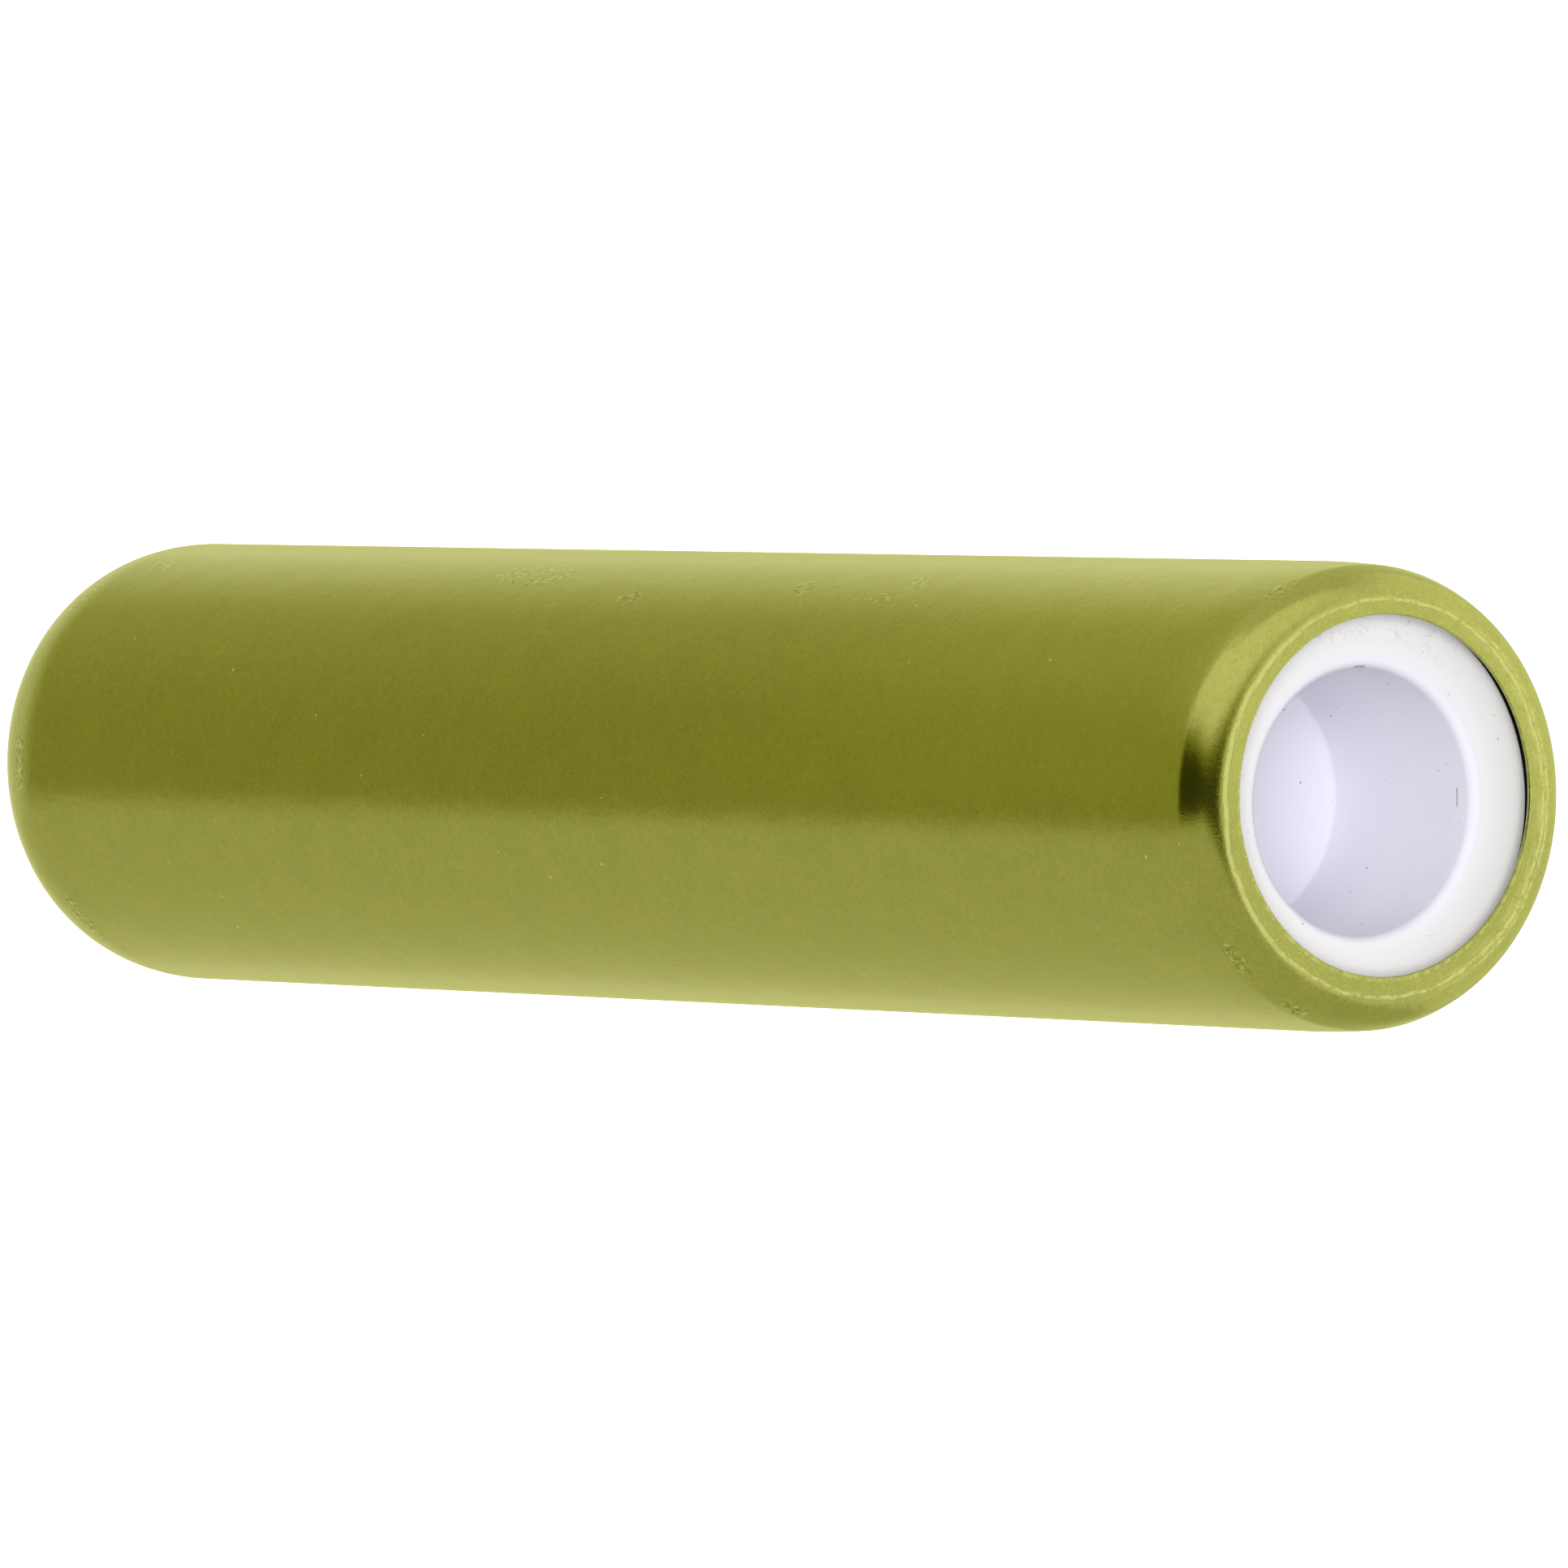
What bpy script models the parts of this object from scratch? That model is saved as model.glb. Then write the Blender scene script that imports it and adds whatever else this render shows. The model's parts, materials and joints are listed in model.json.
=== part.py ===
"""Sealed cylindrical battery cell, standing upright on its closed base.

The origin is the centre of the base and +Z runs along the cell to its open end, where a white insulating
cup sits under the rolled lip. Sizes are in millimetres and are turned into metres as the meshes are made.
"""
import math

import bmesh
import bpy

MM = 0.001

# Whole cell
CELL_DIAMETER = 14.0
CELL_HEIGHT = 65.0
SEAT_GAP = 0.05          # left between pieces that touch or slide
ROUND_STEPS = 48         # flats round the can, the cup and the seal
INNER_ROUND_STEPS = 32   # flats round a large piece inside the can
SMALL_ROUND_STEPS = 24   # flats round a small piece
ARC_STEPS = 4            # chords in a corner radius

# Can
CAN_WALL = 0.25
CAN_BASE = 0.35
CORNER_RADIUS = 1.1      # outside radius of the rolled shoulder
BASE_RADIUS = 1.6        # outside radius round the closed base
LIP_WIDTH = 0.57         # flat part of the rolled-in lip
LIP_EDGE = 0.12          # the lip is coined thin at its edge

# Insulating cup
CUP_RECESS = 0.85        # from the lip down to the cup's face
BOSS_HEIGHT = 1.15       # from the flange up to the face
FLANGE_THICKNESS = 0.9
BORE_RADIUS = 3.98
BORE_DEPTH = 6.8
CUP_FLOOR = 0.9
CUP_WALL = 1.0           # round the bore, below the flange
CUP_EDGE_RADIUS = 0.25
SEAL_WIDTH = 0.82        # rubber ring between the boss and the can

# Contact stud and its washer
CONTACT_RADIUS = 0.8
CONTACT_HEIGHT = 0.35    # stands this far above its seat in the bore
CONTACT_CHAMFER = 0.12
SHANK_RADIUS = 0.5
CLINCH_WIDTH = 0.4       # how far the clinched end spreads past the shank
CLINCH_HEIGHT = 0.2
WASHER_RADIUS = 1.6
WASHER_THICKNESS = 0.25

# Vent
CAGE_RADIUS = 2.3
CAGE_WALL = 0.25
CAGE_ROOM = 3.2          # free height inside the cage
CAGE_BRIM = 1.3          # width of the brim outside the cage's wall
CAGE_WINDOWS = 3
WINDOW_WIDTH = 1.2
WINDOW_HEIGHT = 1.4
VALVE_PLAY = 0.55        # from the valve plate to the cage's wall
VALVE_THICKNESS = 0.3
PEG_RADIUS = 0.55        # keeps the spring centred
PEG_HEIGHT = 0.45
PAD_MARGIN = 0.2         # from the pad's edge to the plate's
PAD_THICKNESS = 0.4
SPRING_WIRE = 0.35
SPRING_TURNS = 3.5
SPRING_STEPS = 14        # points in one turn of the spring
GAS_HOLE_RADIUS = 0.5
SEAT_RING_WIDTH = 0.35
SEAT_RING_HEIGHT = 0.15

# Cover and what carries it
COVER_THICKNESS = 0.5
GASKET_LEG = 0.5
GASKET_WALL = 0.55
GASKET_OVERLAP = 0.8     # how far the gasket reaches in over the cover
SLEEVE_PLAY = 0.3        # from the sleeve to the cup's skirt
SPACER_WALL = 1.0
SPACER_HEIGHT = 1.7

# Collectors, leads and insulators
COLLECTOR_THICKNESS = 0.15
COLLECTOR_MARGIN = 1.0   # from the collector's rim to the can
COLLECTOR_HOLE_RADIUS = 0.9
COLLECTOR_SLOTS = 4
SLOT_WIDTH = 0.5
SLOT_MARGIN = 0.85       # from a slot's outer end to the collector's rim
SLOT_LENGTH = 2.0
TOP_INSULATOR_THICKNESS = 0.25
BOTTOM_INSULATOR_THICKNESS = 0.95
INSULATOR_HOLE_RADIUS = 2.6
LEAD_THICKNESS = 0.12
LEAD_WIDTH = 2.4
LEAD_PLAY = 0.2          # from a lead's corners to the hole it passes through

# Winding
POSITIVE_THICKNESS = 0.5
NEGATIVE_THICKNESS = 0.3
SEPARATOR_THICKNESS = 0.12
LAYER_GAP = 0.02
PLATE_OFFSET = 0.85      # one plate ends this far inside the other
SEPARATOR_OFFSET = 0.4
CORE_RADIUS = 1.2
CORE_WALL = 0.3
WRAP_THICKNESS = 0.06
WINDING_STEPS = 24       # flats in one turn of the winding

# Worked out from the sizes above
can_radius = CELL_DIAMETER / 2
can_inside = can_radius - CAN_WALL
corner_centre = can_radius - CORNER_RADIUS
base_centre = can_radius - BASE_RADIUS
lip_radius = corner_centre - LIP_WIDTH
fit_radius = can_inside - SEAT_GAP
seal_inside = fit_radius - SEAL_WIDTH
boss_radius = seal_inside - SEAT_GAP
skirt_radius = BORE_RADIUS + CUP_WALL
cage_inside = CAGE_RADIUS - CAGE_WALL
valve_radius = cage_inside - VALVE_PLAY

face_z = CELL_HEIGHT - CUP_RECESS
flange_top_z = face_z - BOSS_HEIGHT
flange_z = flange_top_z - FLANGE_THICKNESS
bore_floor_z = face_z - BORE_DEPTH
cup_z = bore_floor_z - CUP_FLOOR
washer_z = cup_z - SEAT_GAP - WASHER_THICKNESS
contact_z = washer_z - SEAT_GAP - CLINCH_HEIGHT
cage_top_z = contact_z - SEAT_GAP
cage_z = cage_top_z - CAGE_WALL - CAGE_ROOM
cover_z = cage_z - SEAT_GAP - COVER_THICKNESS
gasket_z = cover_z - SEAT_GAP - GASKET_LEG
gasket_height = COVER_THICKNESS + 2 * (GASKET_LEG + SEAT_GAP)
spacer_z = gasket_z - SEAT_GAP - SPACER_HEIGHT
top_insulator_z = spacer_z - SEAT_GAP - TOP_INSULATOR_THICKNESS
positive_collector_z = top_insulator_z - SEAT_GAP - COLLECTOR_THICKNESS
positive_top_z = positive_collector_z - SEAT_GAP

bottom_insulator_z = CAN_BASE + SEAT_GAP
negative_collector_z = bottom_insulator_z + BOTTOM_INSULATOR_THICKNESS + SEAT_GAP
negative_z = negative_collector_z + COLLECTOR_THICKNESS + SEAT_GAP

collector_radius = can_inside - COLLECTOR_MARGIN
wrap_inside = fit_radius - WRAP_THICKNESS
winding_radius = wrap_inside - SEAT_GAP
winding_start = CORE_RADIUS + SEAT_GAP
winding_pitch = POSITIVE_THICKNESS + NEGATIVE_THICKNESS + 2 * SEPARATOR_THICKNESS + 4 * LAYER_GAP
winding_turns = (winding_radius - winding_start - winding_pitch) / winding_pitch

seat_z = cover_z + COVER_THICKNESS + SEAT_RING_HEIGHT
pad_z = seat_z + SEAT_GAP
valve_z = pad_z + PAD_THICKNESS + LAYER_GAP
spring_low_z = valve_z + VALVE_THICKNESS + SEAT_GAP
spring_high_z = cage_top_z - CAGE_WALL - SEAT_GAP
spring_radius = PEG_RADIUS + 2 * SEAT_GAP + SPRING_WIRE / 2


def clear_scene():
    for old in list(bpy.data.objects):
        bpy.data.objects.remove(old, do_unlink=True)


def finish(name, colour, roughness, metallic=0.0):
    """A plain surface finish for one kind of material."""
    material = bpy.data.materials.new(name)
    material.use_nodes = True
    shader = material.node_tree.nodes["Principled BSDF"]
    shader.inputs["Base Color"].default_value = (*colour, 1.0)
    shader.inputs["Roughness"].default_value = roughness
    shader.inputs["Metallic"].default_value = metallic
    return material


def add_mesh(name, bm, material, parent, height=0.0):
    """Close the bmesh, point its faces outwards and add it as one named piece at the given height."""
    bmesh.ops.remove_doubles(bm, verts=bm.verts, dist=1e-4 * MM)
    bmesh.ops.recalc_face_normals(bm, faces=bm.faces)
    mesh = bpy.data.meshes.new(name)
    bm.to_mesh(mesh)
    bm.free()
    mesh.shade_smooth()
    mesh.set_sharp_from_angle(angle=math.radians(35))
    mesh.materials.append(material)
    return add_object(name, mesh, parent, height)


def add_object(name, data, parent, height=0.0):
    piece = bpy.data.objects.new(name, data)
    bpy.context.scene.collection.objects.link(piece)
    piece.parent = parent
    piece.location.z = height * MM - parent.location.z if parent else height * MM
    return piece


def add_empty(name, height=0.0):
    return add_object(name, None, None, height)


def arc(centre_r, centre_z, radius, start, end, steps=ARC_STEPS):
    """Points of a corner in the turning plane, from the start angle to the end angle in degrees."""
    points = []
    for step in range(steps + 1):
        angle = math.radians(start + (end - start) * step / steps)
        points.append((centre_r + radius * math.cos(angle), centre_z + radius * math.sin(angle)))
    return points


def turned(name, outline, material, parent, height=0.0, steps=ROUND_STEPS):
    """Turn an outline of (radius, height) points round the cell's axis into one closed piece.

    An outline that starts and ends on the axis stays open there; any other is joined end to start.
    """
    bm = bmesh.new()
    points = [bm.verts.new((radius * MM, 0.0, level * MM)) for radius, level in outline]
    sides = list(zip(points, points[1:]))
    if outline[0][0] > 0:
        sides.append((points[-1], points[0]))
    lines = [bm.edges.new(side) for side in sides]
    bmesh.ops.spin(bm, geom=points + lines, axis=(0, 0, 1), angle=math.tau, steps=steps, use_merge=True)
    return add_mesh(name, bm, material, parent, height)


def tube(name, inner, outer, length, material, parent, height, steps=INNER_ROUND_STEPS):
    outline = [(inner, 0.0), (outer, 0.0), (outer, length), (inner, length)]
    return turned(name, outline, material, parent, height, steps)


def block(bm, low, high, turn=0.0):
    """Add a box between two corners, turned about the cell's axis."""
    made = bmesh.ops.create_cube(bm, size=1.0)["verts"]
    cos, sin = math.cos(turn), math.sin(turn)
    for vert in made:
        x, y, z = [(low[i] + high[i]) / 2 + vert.co[i] * (high[i] - low[i]) for i in range(3)]
        vert.co = ((x * cos - y * sin) * MM, (x * sin + y * cos) * MM, z * MM)


def cut_radially(piece, count, inner, outer, width, low, high):
    """Cut evenly spaced radial windows or slots through a turned piece."""
    bm = bmesh.new()
    for index in range(count):
        block(bm, (inner, -width / 2, low), (outer, width / 2, high), math.tau * index / count)
    mesh = bpy.data.meshes.new(piece.name + "_cutter")
    bm.to_mesh(mesh)
    bm.free()
    cutter = add_object(mesh.name, mesh, piece)
    cutter.location.z = 0.0
    cutter.hide_render = True
    cutter.display_type = "WIRE"
    cut = piece.modifiers.new("cut", "BOOLEAN")
    cut.operation = "DIFFERENCE"
    cut.solver = "EXACT"
    cut.object = cutter


def wound_sheet(name, inset, thickness, low, high, material, parent):
    """One layer of the winding: a flat sheet rolled into a spiral, standing from low to high."""
    steps = math.ceil(winding_turns * WINDING_STEPS)
    bm = bmesh.new()
    rows = []
    for step in range(steps + 1):
        turns = min(step / WINDING_STEPS, winding_turns)
        radius = winding_start + inset + winding_pitch * turns
        x, y = math.cos(math.tau * turns), math.sin(math.tau * turns)
        corners = [(radius, low), (radius + thickness, low), (radius + thickness, high), (radius, high)]
        rows.append([bm.verts.new((r * x * MM, r * y * MM, (z - low) * MM)) for r, z in corners])
    for row, following in zip(rows, rows[1:]):
        for side in range(4):
            after = (side + 1) % 4
            bm.faces.new((row[side], row[after], following[after], following[side]))
    bm.faces.new(rows[0])
    bm.faces.new(rows[-1])
    return add_mesh(name, bm, material, parent, low)


def folded_lead(name, legs, height, material, parent, base):
    """A thin strip folded back and forth, from its lower face at the base up through the given height."""
    bend = (height - LEAD_THICKNESS) / (legs - 1) / 2
    half = LEAD_THICKNESS / 2
    reach = math.sqrt((INSULATOR_HOLE_RADIUS - LEAD_PLAY) ** 2 - (LEAD_WIDTH / 2) ** 2) - bend - half
    right, left = [], []
    for leg in range(legs):
        way = 1 if leg % 2 == 0 else -1
        level = half + 2 * bend * leg
        path = [(-way * reach, level, way)]
        if leg == legs - 1:
            path.append((way * reach, level, way))
        for x, z, along in path:
            right.append((x, z - along * half))
            left.append((x, z + along * half))
        if leg < legs - 1:
            for step in range(ARC_STEPS * 2 + 1):
                angle = math.radians(-90 + 180 * step / (ARC_STEPS * 2))
                across, up = way * math.cos(angle), math.sin(angle)
                outer, inner = bend + half, bend - half
                right.append((way * reach + across * (outer if way > 0 else inner),
                              level + bend + up * (outer if way > 0 else inner)))
                left.append((way * reach + across * (inner if way > 0 else outer),
                             level + bend + up * (inner if way > 0 else outer)))
    bm = bmesh.new()
    rows = []
    for near, far in zip(right, left):
        corners = [(near, -1), (near, 1), (far, 1), (far, -1)]
        rows.append([bm.verts.new((x * MM, side * LEAD_WIDTH / 2 * MM, z * MM)) for (x, z), side in corners])
    for row, following in zip(rows, rows[1:]):
        for side in range(4):
            after = (side + 1) % 4
            bm.faces.new((row[side], row[after], following[after], following[side]))
    bm.faces.new(rows[0])
    bm.faces.new(rows[-1])
    return add_mesh(name, bm, material, parent, base)


def make_can(material, parent):
    shoulder_z = CELL_HEIGHT - CORNER_RADIUS
    base_corner = BASE_RADIUS - CAN_BASE
    outline = [(0.0, 0.0)]
    outline += arc(base_centre, BASE_RADIUS, BASE_RADIUS, -90, 0)
    outline += arc(corner_centre, shoulder_z, CORNER_RADIUS, 0, 90)
    outline += [(lip_radius, CELL_HEIGHT), (lip_radius, CELL_HEIGHT - LIP_EDGE)]
    outline += arc(corner_centre, shoulder_z, CORNER_RADIUS - CAN_WALL, 90, 0)
    outline += arc(can_inside - base_corner, CAN_BASE + base_corner, base_corner, 0, -90)
    outline.append((0.0, CAN_BASE))
    return turned("can", outline, material, parent)


def make_insulating_cup(material, parent):
    """The moulded cup: face, blind bore, skirt, and the flange that the lip holds down."""
    edge = CUP_EDGE_RADIUS
    shank_hole = SHANK_RADIUS + SEAT_GAP
    outline = [(shank_hole, 0.0), (skirt_radius, 0.0), (skirt_radius, flange_z - cup_z)]
    outline += [(fit_radius, flange_z - cup_z), (fit_radius, flange_top_z - cup_z)]
    outline.append((boss_radius, flange_top_z - cup_z))
    outline += arc(boss_radius - edge, face_z - cup_z - edge, edge, 0, 90)
    outline += arc(BORE_RADIUS + edge, face_z - cup_z - edge, edge, 90, 180)
    outline += [(BORE_RADIUS, CUP_FLOOR), (shank_hole, CUP_FLOOR)]
    return turned("insulating_cup", outline, material, parent, cup_z)


def make_seal_ring(material, parent):
    """Rubber ring on the cup's flange; its top follows the inside of the rolled shoulder."""
    base = flange_top_z + SEAT_GAP
    shoulder = CELL_HEIGHT - CORNER_RADIUS - base
    radius = CORNER_RADIUS - CAN_WALL - SEAT_GAP
    end = math.degrees(math.acos((seal_inside - corner_centre) / radius))
    outline = [(seal_inside, 0.0), (fit_radius, 0.0)]
    outline += arc(corner_centre, shoulder, radius, 0, end)
    return turned("seal_ring", outline, material, parent, base)


def make_positive_contact(material, parent):
    """Stud with its head in the bore and its end clinched under the washer."""
    head_z = bore_floor_z + SEAT_GAP - contact_z
    top = head_z + CONTACT_HEIGHT
    clinch = SHANK_RADIUS + CLINCH_WIDTH
    outline = [(0.0, 0.0), (clinch, 0.0), (clinch, CLINCH_HEIGHT)]
    outline += [(SHANK_RADIUS, CLINCH_HEIGHT), (SHANK_RADIUS, head_z), (CONTACT_RADIUS, head_z)]
    outline += [(CONTACT_RADIUS, top - CONTACT_CHAMFER), (CONTACT_RADIUS - CONTACT_CHAMFER, top), (0.0, top)]
    return turned("positive_contact", outline, material, parent, contact_z, SMALL_ROUND_STEPS)


def make_vent_cage(material, parent):
    """Pressed cap on the cover, with windows that let the gas out."""
    top = CAGE_ROOM + CAGE_WALL
    brim = CAGE_RADIUS + CAGE_BRIM
    outline = [(0.0, CAGE_ROOM), (cage_inside, CAGE_ROOM), (cage_inside, 0.0), (brim, 0.0)]
    outline += [(brim, CAGE_WALL), (CAGE_RADIUS, CAGE_WALL), (CAGE_RADIUS, top), (0.0, top)]
    cage = turned("vent_cage", outline, material, parent, cage_z, SMALL_ROUND_STEPS)
    low = (CAGE_ROOM + CAGE_WALL - WINDOW_HEIGHT) / 2
    reach = cage_inside - CAGE_WALL, CAGE_RADIUS + CAGE_WALL
    cut_radially(cage, CAGE_WINDOWS, *reach, WINDOW_WIDTH, low, low + WINDOW_HEIGHT)
    return cage


def make_vent_valve(steel, rubber, slide):
    """Valve plate with its spring peg, and the rubber pad bonded under it; both lift together."""
    top = VALVE_THICKNESS + PEG_HEIGHT
    outline = [(0.0, 0.0), (valve_radius, 0.0), (valve_radius, VALVE_THICKNESS)]
    outline += [(PEG_RADIUS, VALVE_THICKNESS), (PEG_RADIUS, top), (0.0, top)]
    turned("vent_valve", outline, steel, slide, valve_z, SMALL_ROUND_STEPS)
    pad = valve_radius - PAD_MARGIN
    outline = [(0.0, 0.0), (pad, 0.0), (pad, PAD_THICKNESS), (0.0, PAD_THICKNESS)]
    turned("valve_pad", outline, rubber, slide, pad_z, SMALL_ROUND_STEPS)


def make_vent_spring(material, parent):
    """Coil spring between the valve plate and the roof of the cage."""
    low = SPRING_WIRE / 2
    rise = spring_high_z - spring_low_z - SPRING_WIRE
    steps = round(SPRING_TURNS * SPRING_STEPS)
    wire = bpy.data.curves.new("vent_spring", "CURVE")
    wire.dimensions = "3D"
    wire.bevel_depth = SPRING_WIRE / 2 * MM
    wire.bevel_resolution = 1
    wire.use_fill_caps = True
    line = wire.splines.new("POLY")
    line.points.add(steps)
    for step, point in enumerate(line.points):
        angle = math.tau * SPRING_TURNS * step / steps
        level = low + rise * step / steps
        point.co = (
            spring_radius * math.cos(angle) * MM,
            spring_radius * math.sin(angle) * MM,
            level * MM,
            1.0,
        )
    wire.materials.append(material)
    return add_object("vent_spring", wire, parent, spring_low_z)


def make_cover_plate(material, parent):
    """Disc that closes the can, with a raised seat round its gas hole."""
    rim = fit_radius - GASKET_WALL - SEAT_GAP
    seat = GAS_HOLE_RADIUS + SEAT_RING_WIDTH
    raised = COVER_THICKNESS + SEAT_RING_HEIGHT
    outline = [(GAS_HOLE_RADIUS, 0.0), (rim, 0.0), (rim, COVER_THICKNESS), (seat, COVER_THICKNESS)]
    outline += [(seat, raised), (GAS_HOLE_RADIUS, raised)]
    return turned("cover_plate", outline, material, parent, cover_z, INNER_ROUND_STEPS)


def make_cover_gasket(material, parent):
    """Ring with a groove that grips the cover's rim."""
    wall = fit_radius - GASKET_WALL
    reach = wall - SEAT_GAP - GASKET_OVERLAP
    high = gasket_height - GASKET_LEG
    outline = [(reach, 0.0), (fit_radius, 0.0), (fit_radius, gasket_height), (reach, gasket_height)]
    outline += [(reach, high), (wall, high), (wall, GASKET_LEG), (reach, GASKET_LEG)]
    return turned("cover_gasket", outline, material, parent, gasket_z, INNER_ROUND_STEPS)


def make_collector(name, material, parent, height):
    """Slotted disc welded across the bare edge of one plate."""
    disc = tube(name, COLLECTOR_HOLE_RADIUS, collector_radius, COLLECTOR_THICKNESS, material, parent, height)
    outer = collector_radius - SLOT_MARGIN
    past = COLLECTOR_THICKNESS
    reach = outer - SLOT_LENGTH, outer
    cut_radially(disc, COLLECTOR_SLOTS, *reach, SLOT_WIDTH, -past, COLLECTOR_THICKNESS + past)
    return disc


def make_winding(positive, negative, felt, parent):
    """Two plates with a separator inside each, rolled together on the core."""
    negative_top = positive_top_z - PLATE_OFFSET
    positive_z = negative_z + PLATE_OFFSET
    felt_z = negative_z + SEPARATOR_OFFSET
    felt_top = positive_top_z - SEPARATOR_OFFSET
    layers = [
        ("inner_separator", SEPARATOR_THICKNESS, felt_z, felt_top, felt),
        ("positive_plate", POSITIVE_THICKNESS, positive_z, positive_top_z, positive),
        ("outer_separator", SEPARATOR_THICKNESS, felt_z, felt_top, felt),
        ("negative_plate", NEGATIVE_THICKNESS, negative_z, negative_top, negative),
    ]
    inset = 0.0
    for name, thickness, low, high, material in layers:
        wound_sheet(name, inset, thickness, low, high, material, parent)
        inset += thickness + LAYER_GAP
    return felt_z, felt_top


def main():
    clear_scene()
    coated = finish("coated_steel", (0.26, 0.28, 0.06), 0.35, 0.7)
    white = finish("white_plastic", (0.86, 0.86, 0.85), 0.4)
    rubber = finish("black_rubber", (0.02, 0.02, 0.02), 0.7)
    nickel = finish("nickel", (0.62, 0.6, 0.56), 0.3, 1.0)
    steel = finish("plain_steel", (0.5, 0.5, 0.5), 0.35, 1.0)
    nylon = finish("natural_nylon", (0.72, 0.7, 0.62), 0.5)
    fibre = finish("insulating_fibre", (0.55, 0.32, 0.18), 0.8)
    positive = finish("positive_paste", (0.05, 0.05, 0.05), 0.8, 0.3)
    negative = finish("negative_paste", (0.16, 0.16, 0.17), 0.6, 0.5)
    felt = finish("separator_felt", (0.78, 0.78, 0.74), 0.95)

    cell = add_empty("cell")
    slide = add_empty("vent_slide", seat_z)

    make_can(coated, cell)
    make_insulating_cup(white, cell)
    make_seal_ring(rubber, cell)
    make_positive_contact(nickel, cell)
    hole = SHANK_RADIUS + SEAT_GAP
    tube("contact_washer", hole, WASHER_RADIUS, WASHER_THICKNESS, steel, cell, washer_z, SMALL_ROUND_STEPS)

    sleeve_z = gasket_z + gasket_height + SEAT_GAP
    sleeve_height = flange_z - SEAT_GAP - sleeve_z
    tube("support_sleeve", skirt_radius + SLEEVE_PLAY, fit_radius, sleeve_height, nylon, cell, sleeve_z)
    make_vent_cage(steel, cell)
    make_vent_valve(steel, rubber, slide)
    make_vent_spring(steel, cell)
    make_cover_plate(steel, cell)
    make_cover_gasket(nylon, cell)
    tube("spacer_ring", fit_radius - SPACER_WALL, fit_radius, SPACER_HEIGHT, nylon, cell, spacer_z)

    top_washer = INSULATOR_HOLE_RADIUS, fit_radius, TOP_INSULATOR_THICKNESS
    tube("top_insulator", *top_washer, fibre, cell, top_insulator_z)
    make_collector("positive_collector", nickel, cell, positive_collector_z)
    lead_z = positive_collector_z + COLLECTOR_THICKNESS + SEAT_GAP
    folded_lead("positive_lead", 3, cover_z - SEAT_GAP - lead_z, nickel, cell, lead_z)

    felt_z, felt_top = make_winding(positive, negative, felt, cell)
    core = CORE_RADIUS - CORE_WALL, CORE_RADIUS, felt_top - felt_z
    tube("winding_core", *core, nylon, cell, felt_z, SMALL_ROUND_STEPS)
    tube("winding_wrap", wrap_inside, fit_radius, felt_top - felt_z, fibre, cell, felt_z)

    make_collector("negative_collector", nickel, cell, negative_collector_z)
    folded_lead("negative_lead", 2, BOTTOM_INSULATOR_THICKNESS, nickel, cell, bottom_insulator_z)
    base_washer = INSULATOR_HOLE_RADIUS, base_centre - SEAT_GAP, BOTTOM_INSULATOR_THICKNESS
    tube("bottom_insulator", *base_washer, fibre, cell, bottom_insulator_z)


main()
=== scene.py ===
"""Looks for the cylindrical battery cell: finishes, smooth shells, the studio round it and the camera.

Sizes are in millimetres. The cell stands on its closed base, and +Z runs along its axis to the open end.
"""
import json
import math

import bmesh
import bpy
from mathutils import Matrix, Vector

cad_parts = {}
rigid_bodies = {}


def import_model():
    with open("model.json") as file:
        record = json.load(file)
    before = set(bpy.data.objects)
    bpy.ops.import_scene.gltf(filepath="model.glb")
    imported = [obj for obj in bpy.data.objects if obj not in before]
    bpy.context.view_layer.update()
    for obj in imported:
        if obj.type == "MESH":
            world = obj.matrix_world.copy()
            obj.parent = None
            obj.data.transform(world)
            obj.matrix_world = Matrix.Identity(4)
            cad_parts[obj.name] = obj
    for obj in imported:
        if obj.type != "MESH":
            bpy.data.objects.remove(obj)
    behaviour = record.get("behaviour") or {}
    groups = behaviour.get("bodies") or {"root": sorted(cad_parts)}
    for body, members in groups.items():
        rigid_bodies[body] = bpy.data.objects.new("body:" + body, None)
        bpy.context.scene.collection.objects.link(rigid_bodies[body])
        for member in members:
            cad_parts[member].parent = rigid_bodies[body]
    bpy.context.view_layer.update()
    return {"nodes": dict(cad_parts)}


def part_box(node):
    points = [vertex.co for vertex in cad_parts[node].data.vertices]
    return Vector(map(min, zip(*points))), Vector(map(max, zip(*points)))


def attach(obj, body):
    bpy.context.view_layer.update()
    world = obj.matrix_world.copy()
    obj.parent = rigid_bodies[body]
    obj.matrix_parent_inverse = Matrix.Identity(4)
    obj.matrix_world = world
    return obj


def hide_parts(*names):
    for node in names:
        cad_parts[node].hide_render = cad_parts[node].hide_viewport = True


MM = 0.001
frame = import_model()

# Can
CAN_WALL = 0.25
CAN_BASE = 0.35
SHOULDER = 1.1           # outside radius of the rolled shoulder
LIP_OUTER = 5.9          # where the flat lip meets the shoulder
LIP_INNER = 5.37
LIP_EDGE = 0.12          # thickness at the lip's inner edge
LIP_ROUND = 0.03         # and the radius on its two corners
BASE_CORNER = 1.6        # inside the wall
BASE_DRAW = 1.08         # outside, the base corner draws in this far
BASE_RISE = 2.76         # over this height
TAPER_LENGTH = 3.4       # the wall draws in slightly over this length below the lip
SHOULDER_TAPER = 0.16
LIP_SHIFT = (-0.08, 0.01)    # the opening in the lip is this far off centre

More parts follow.
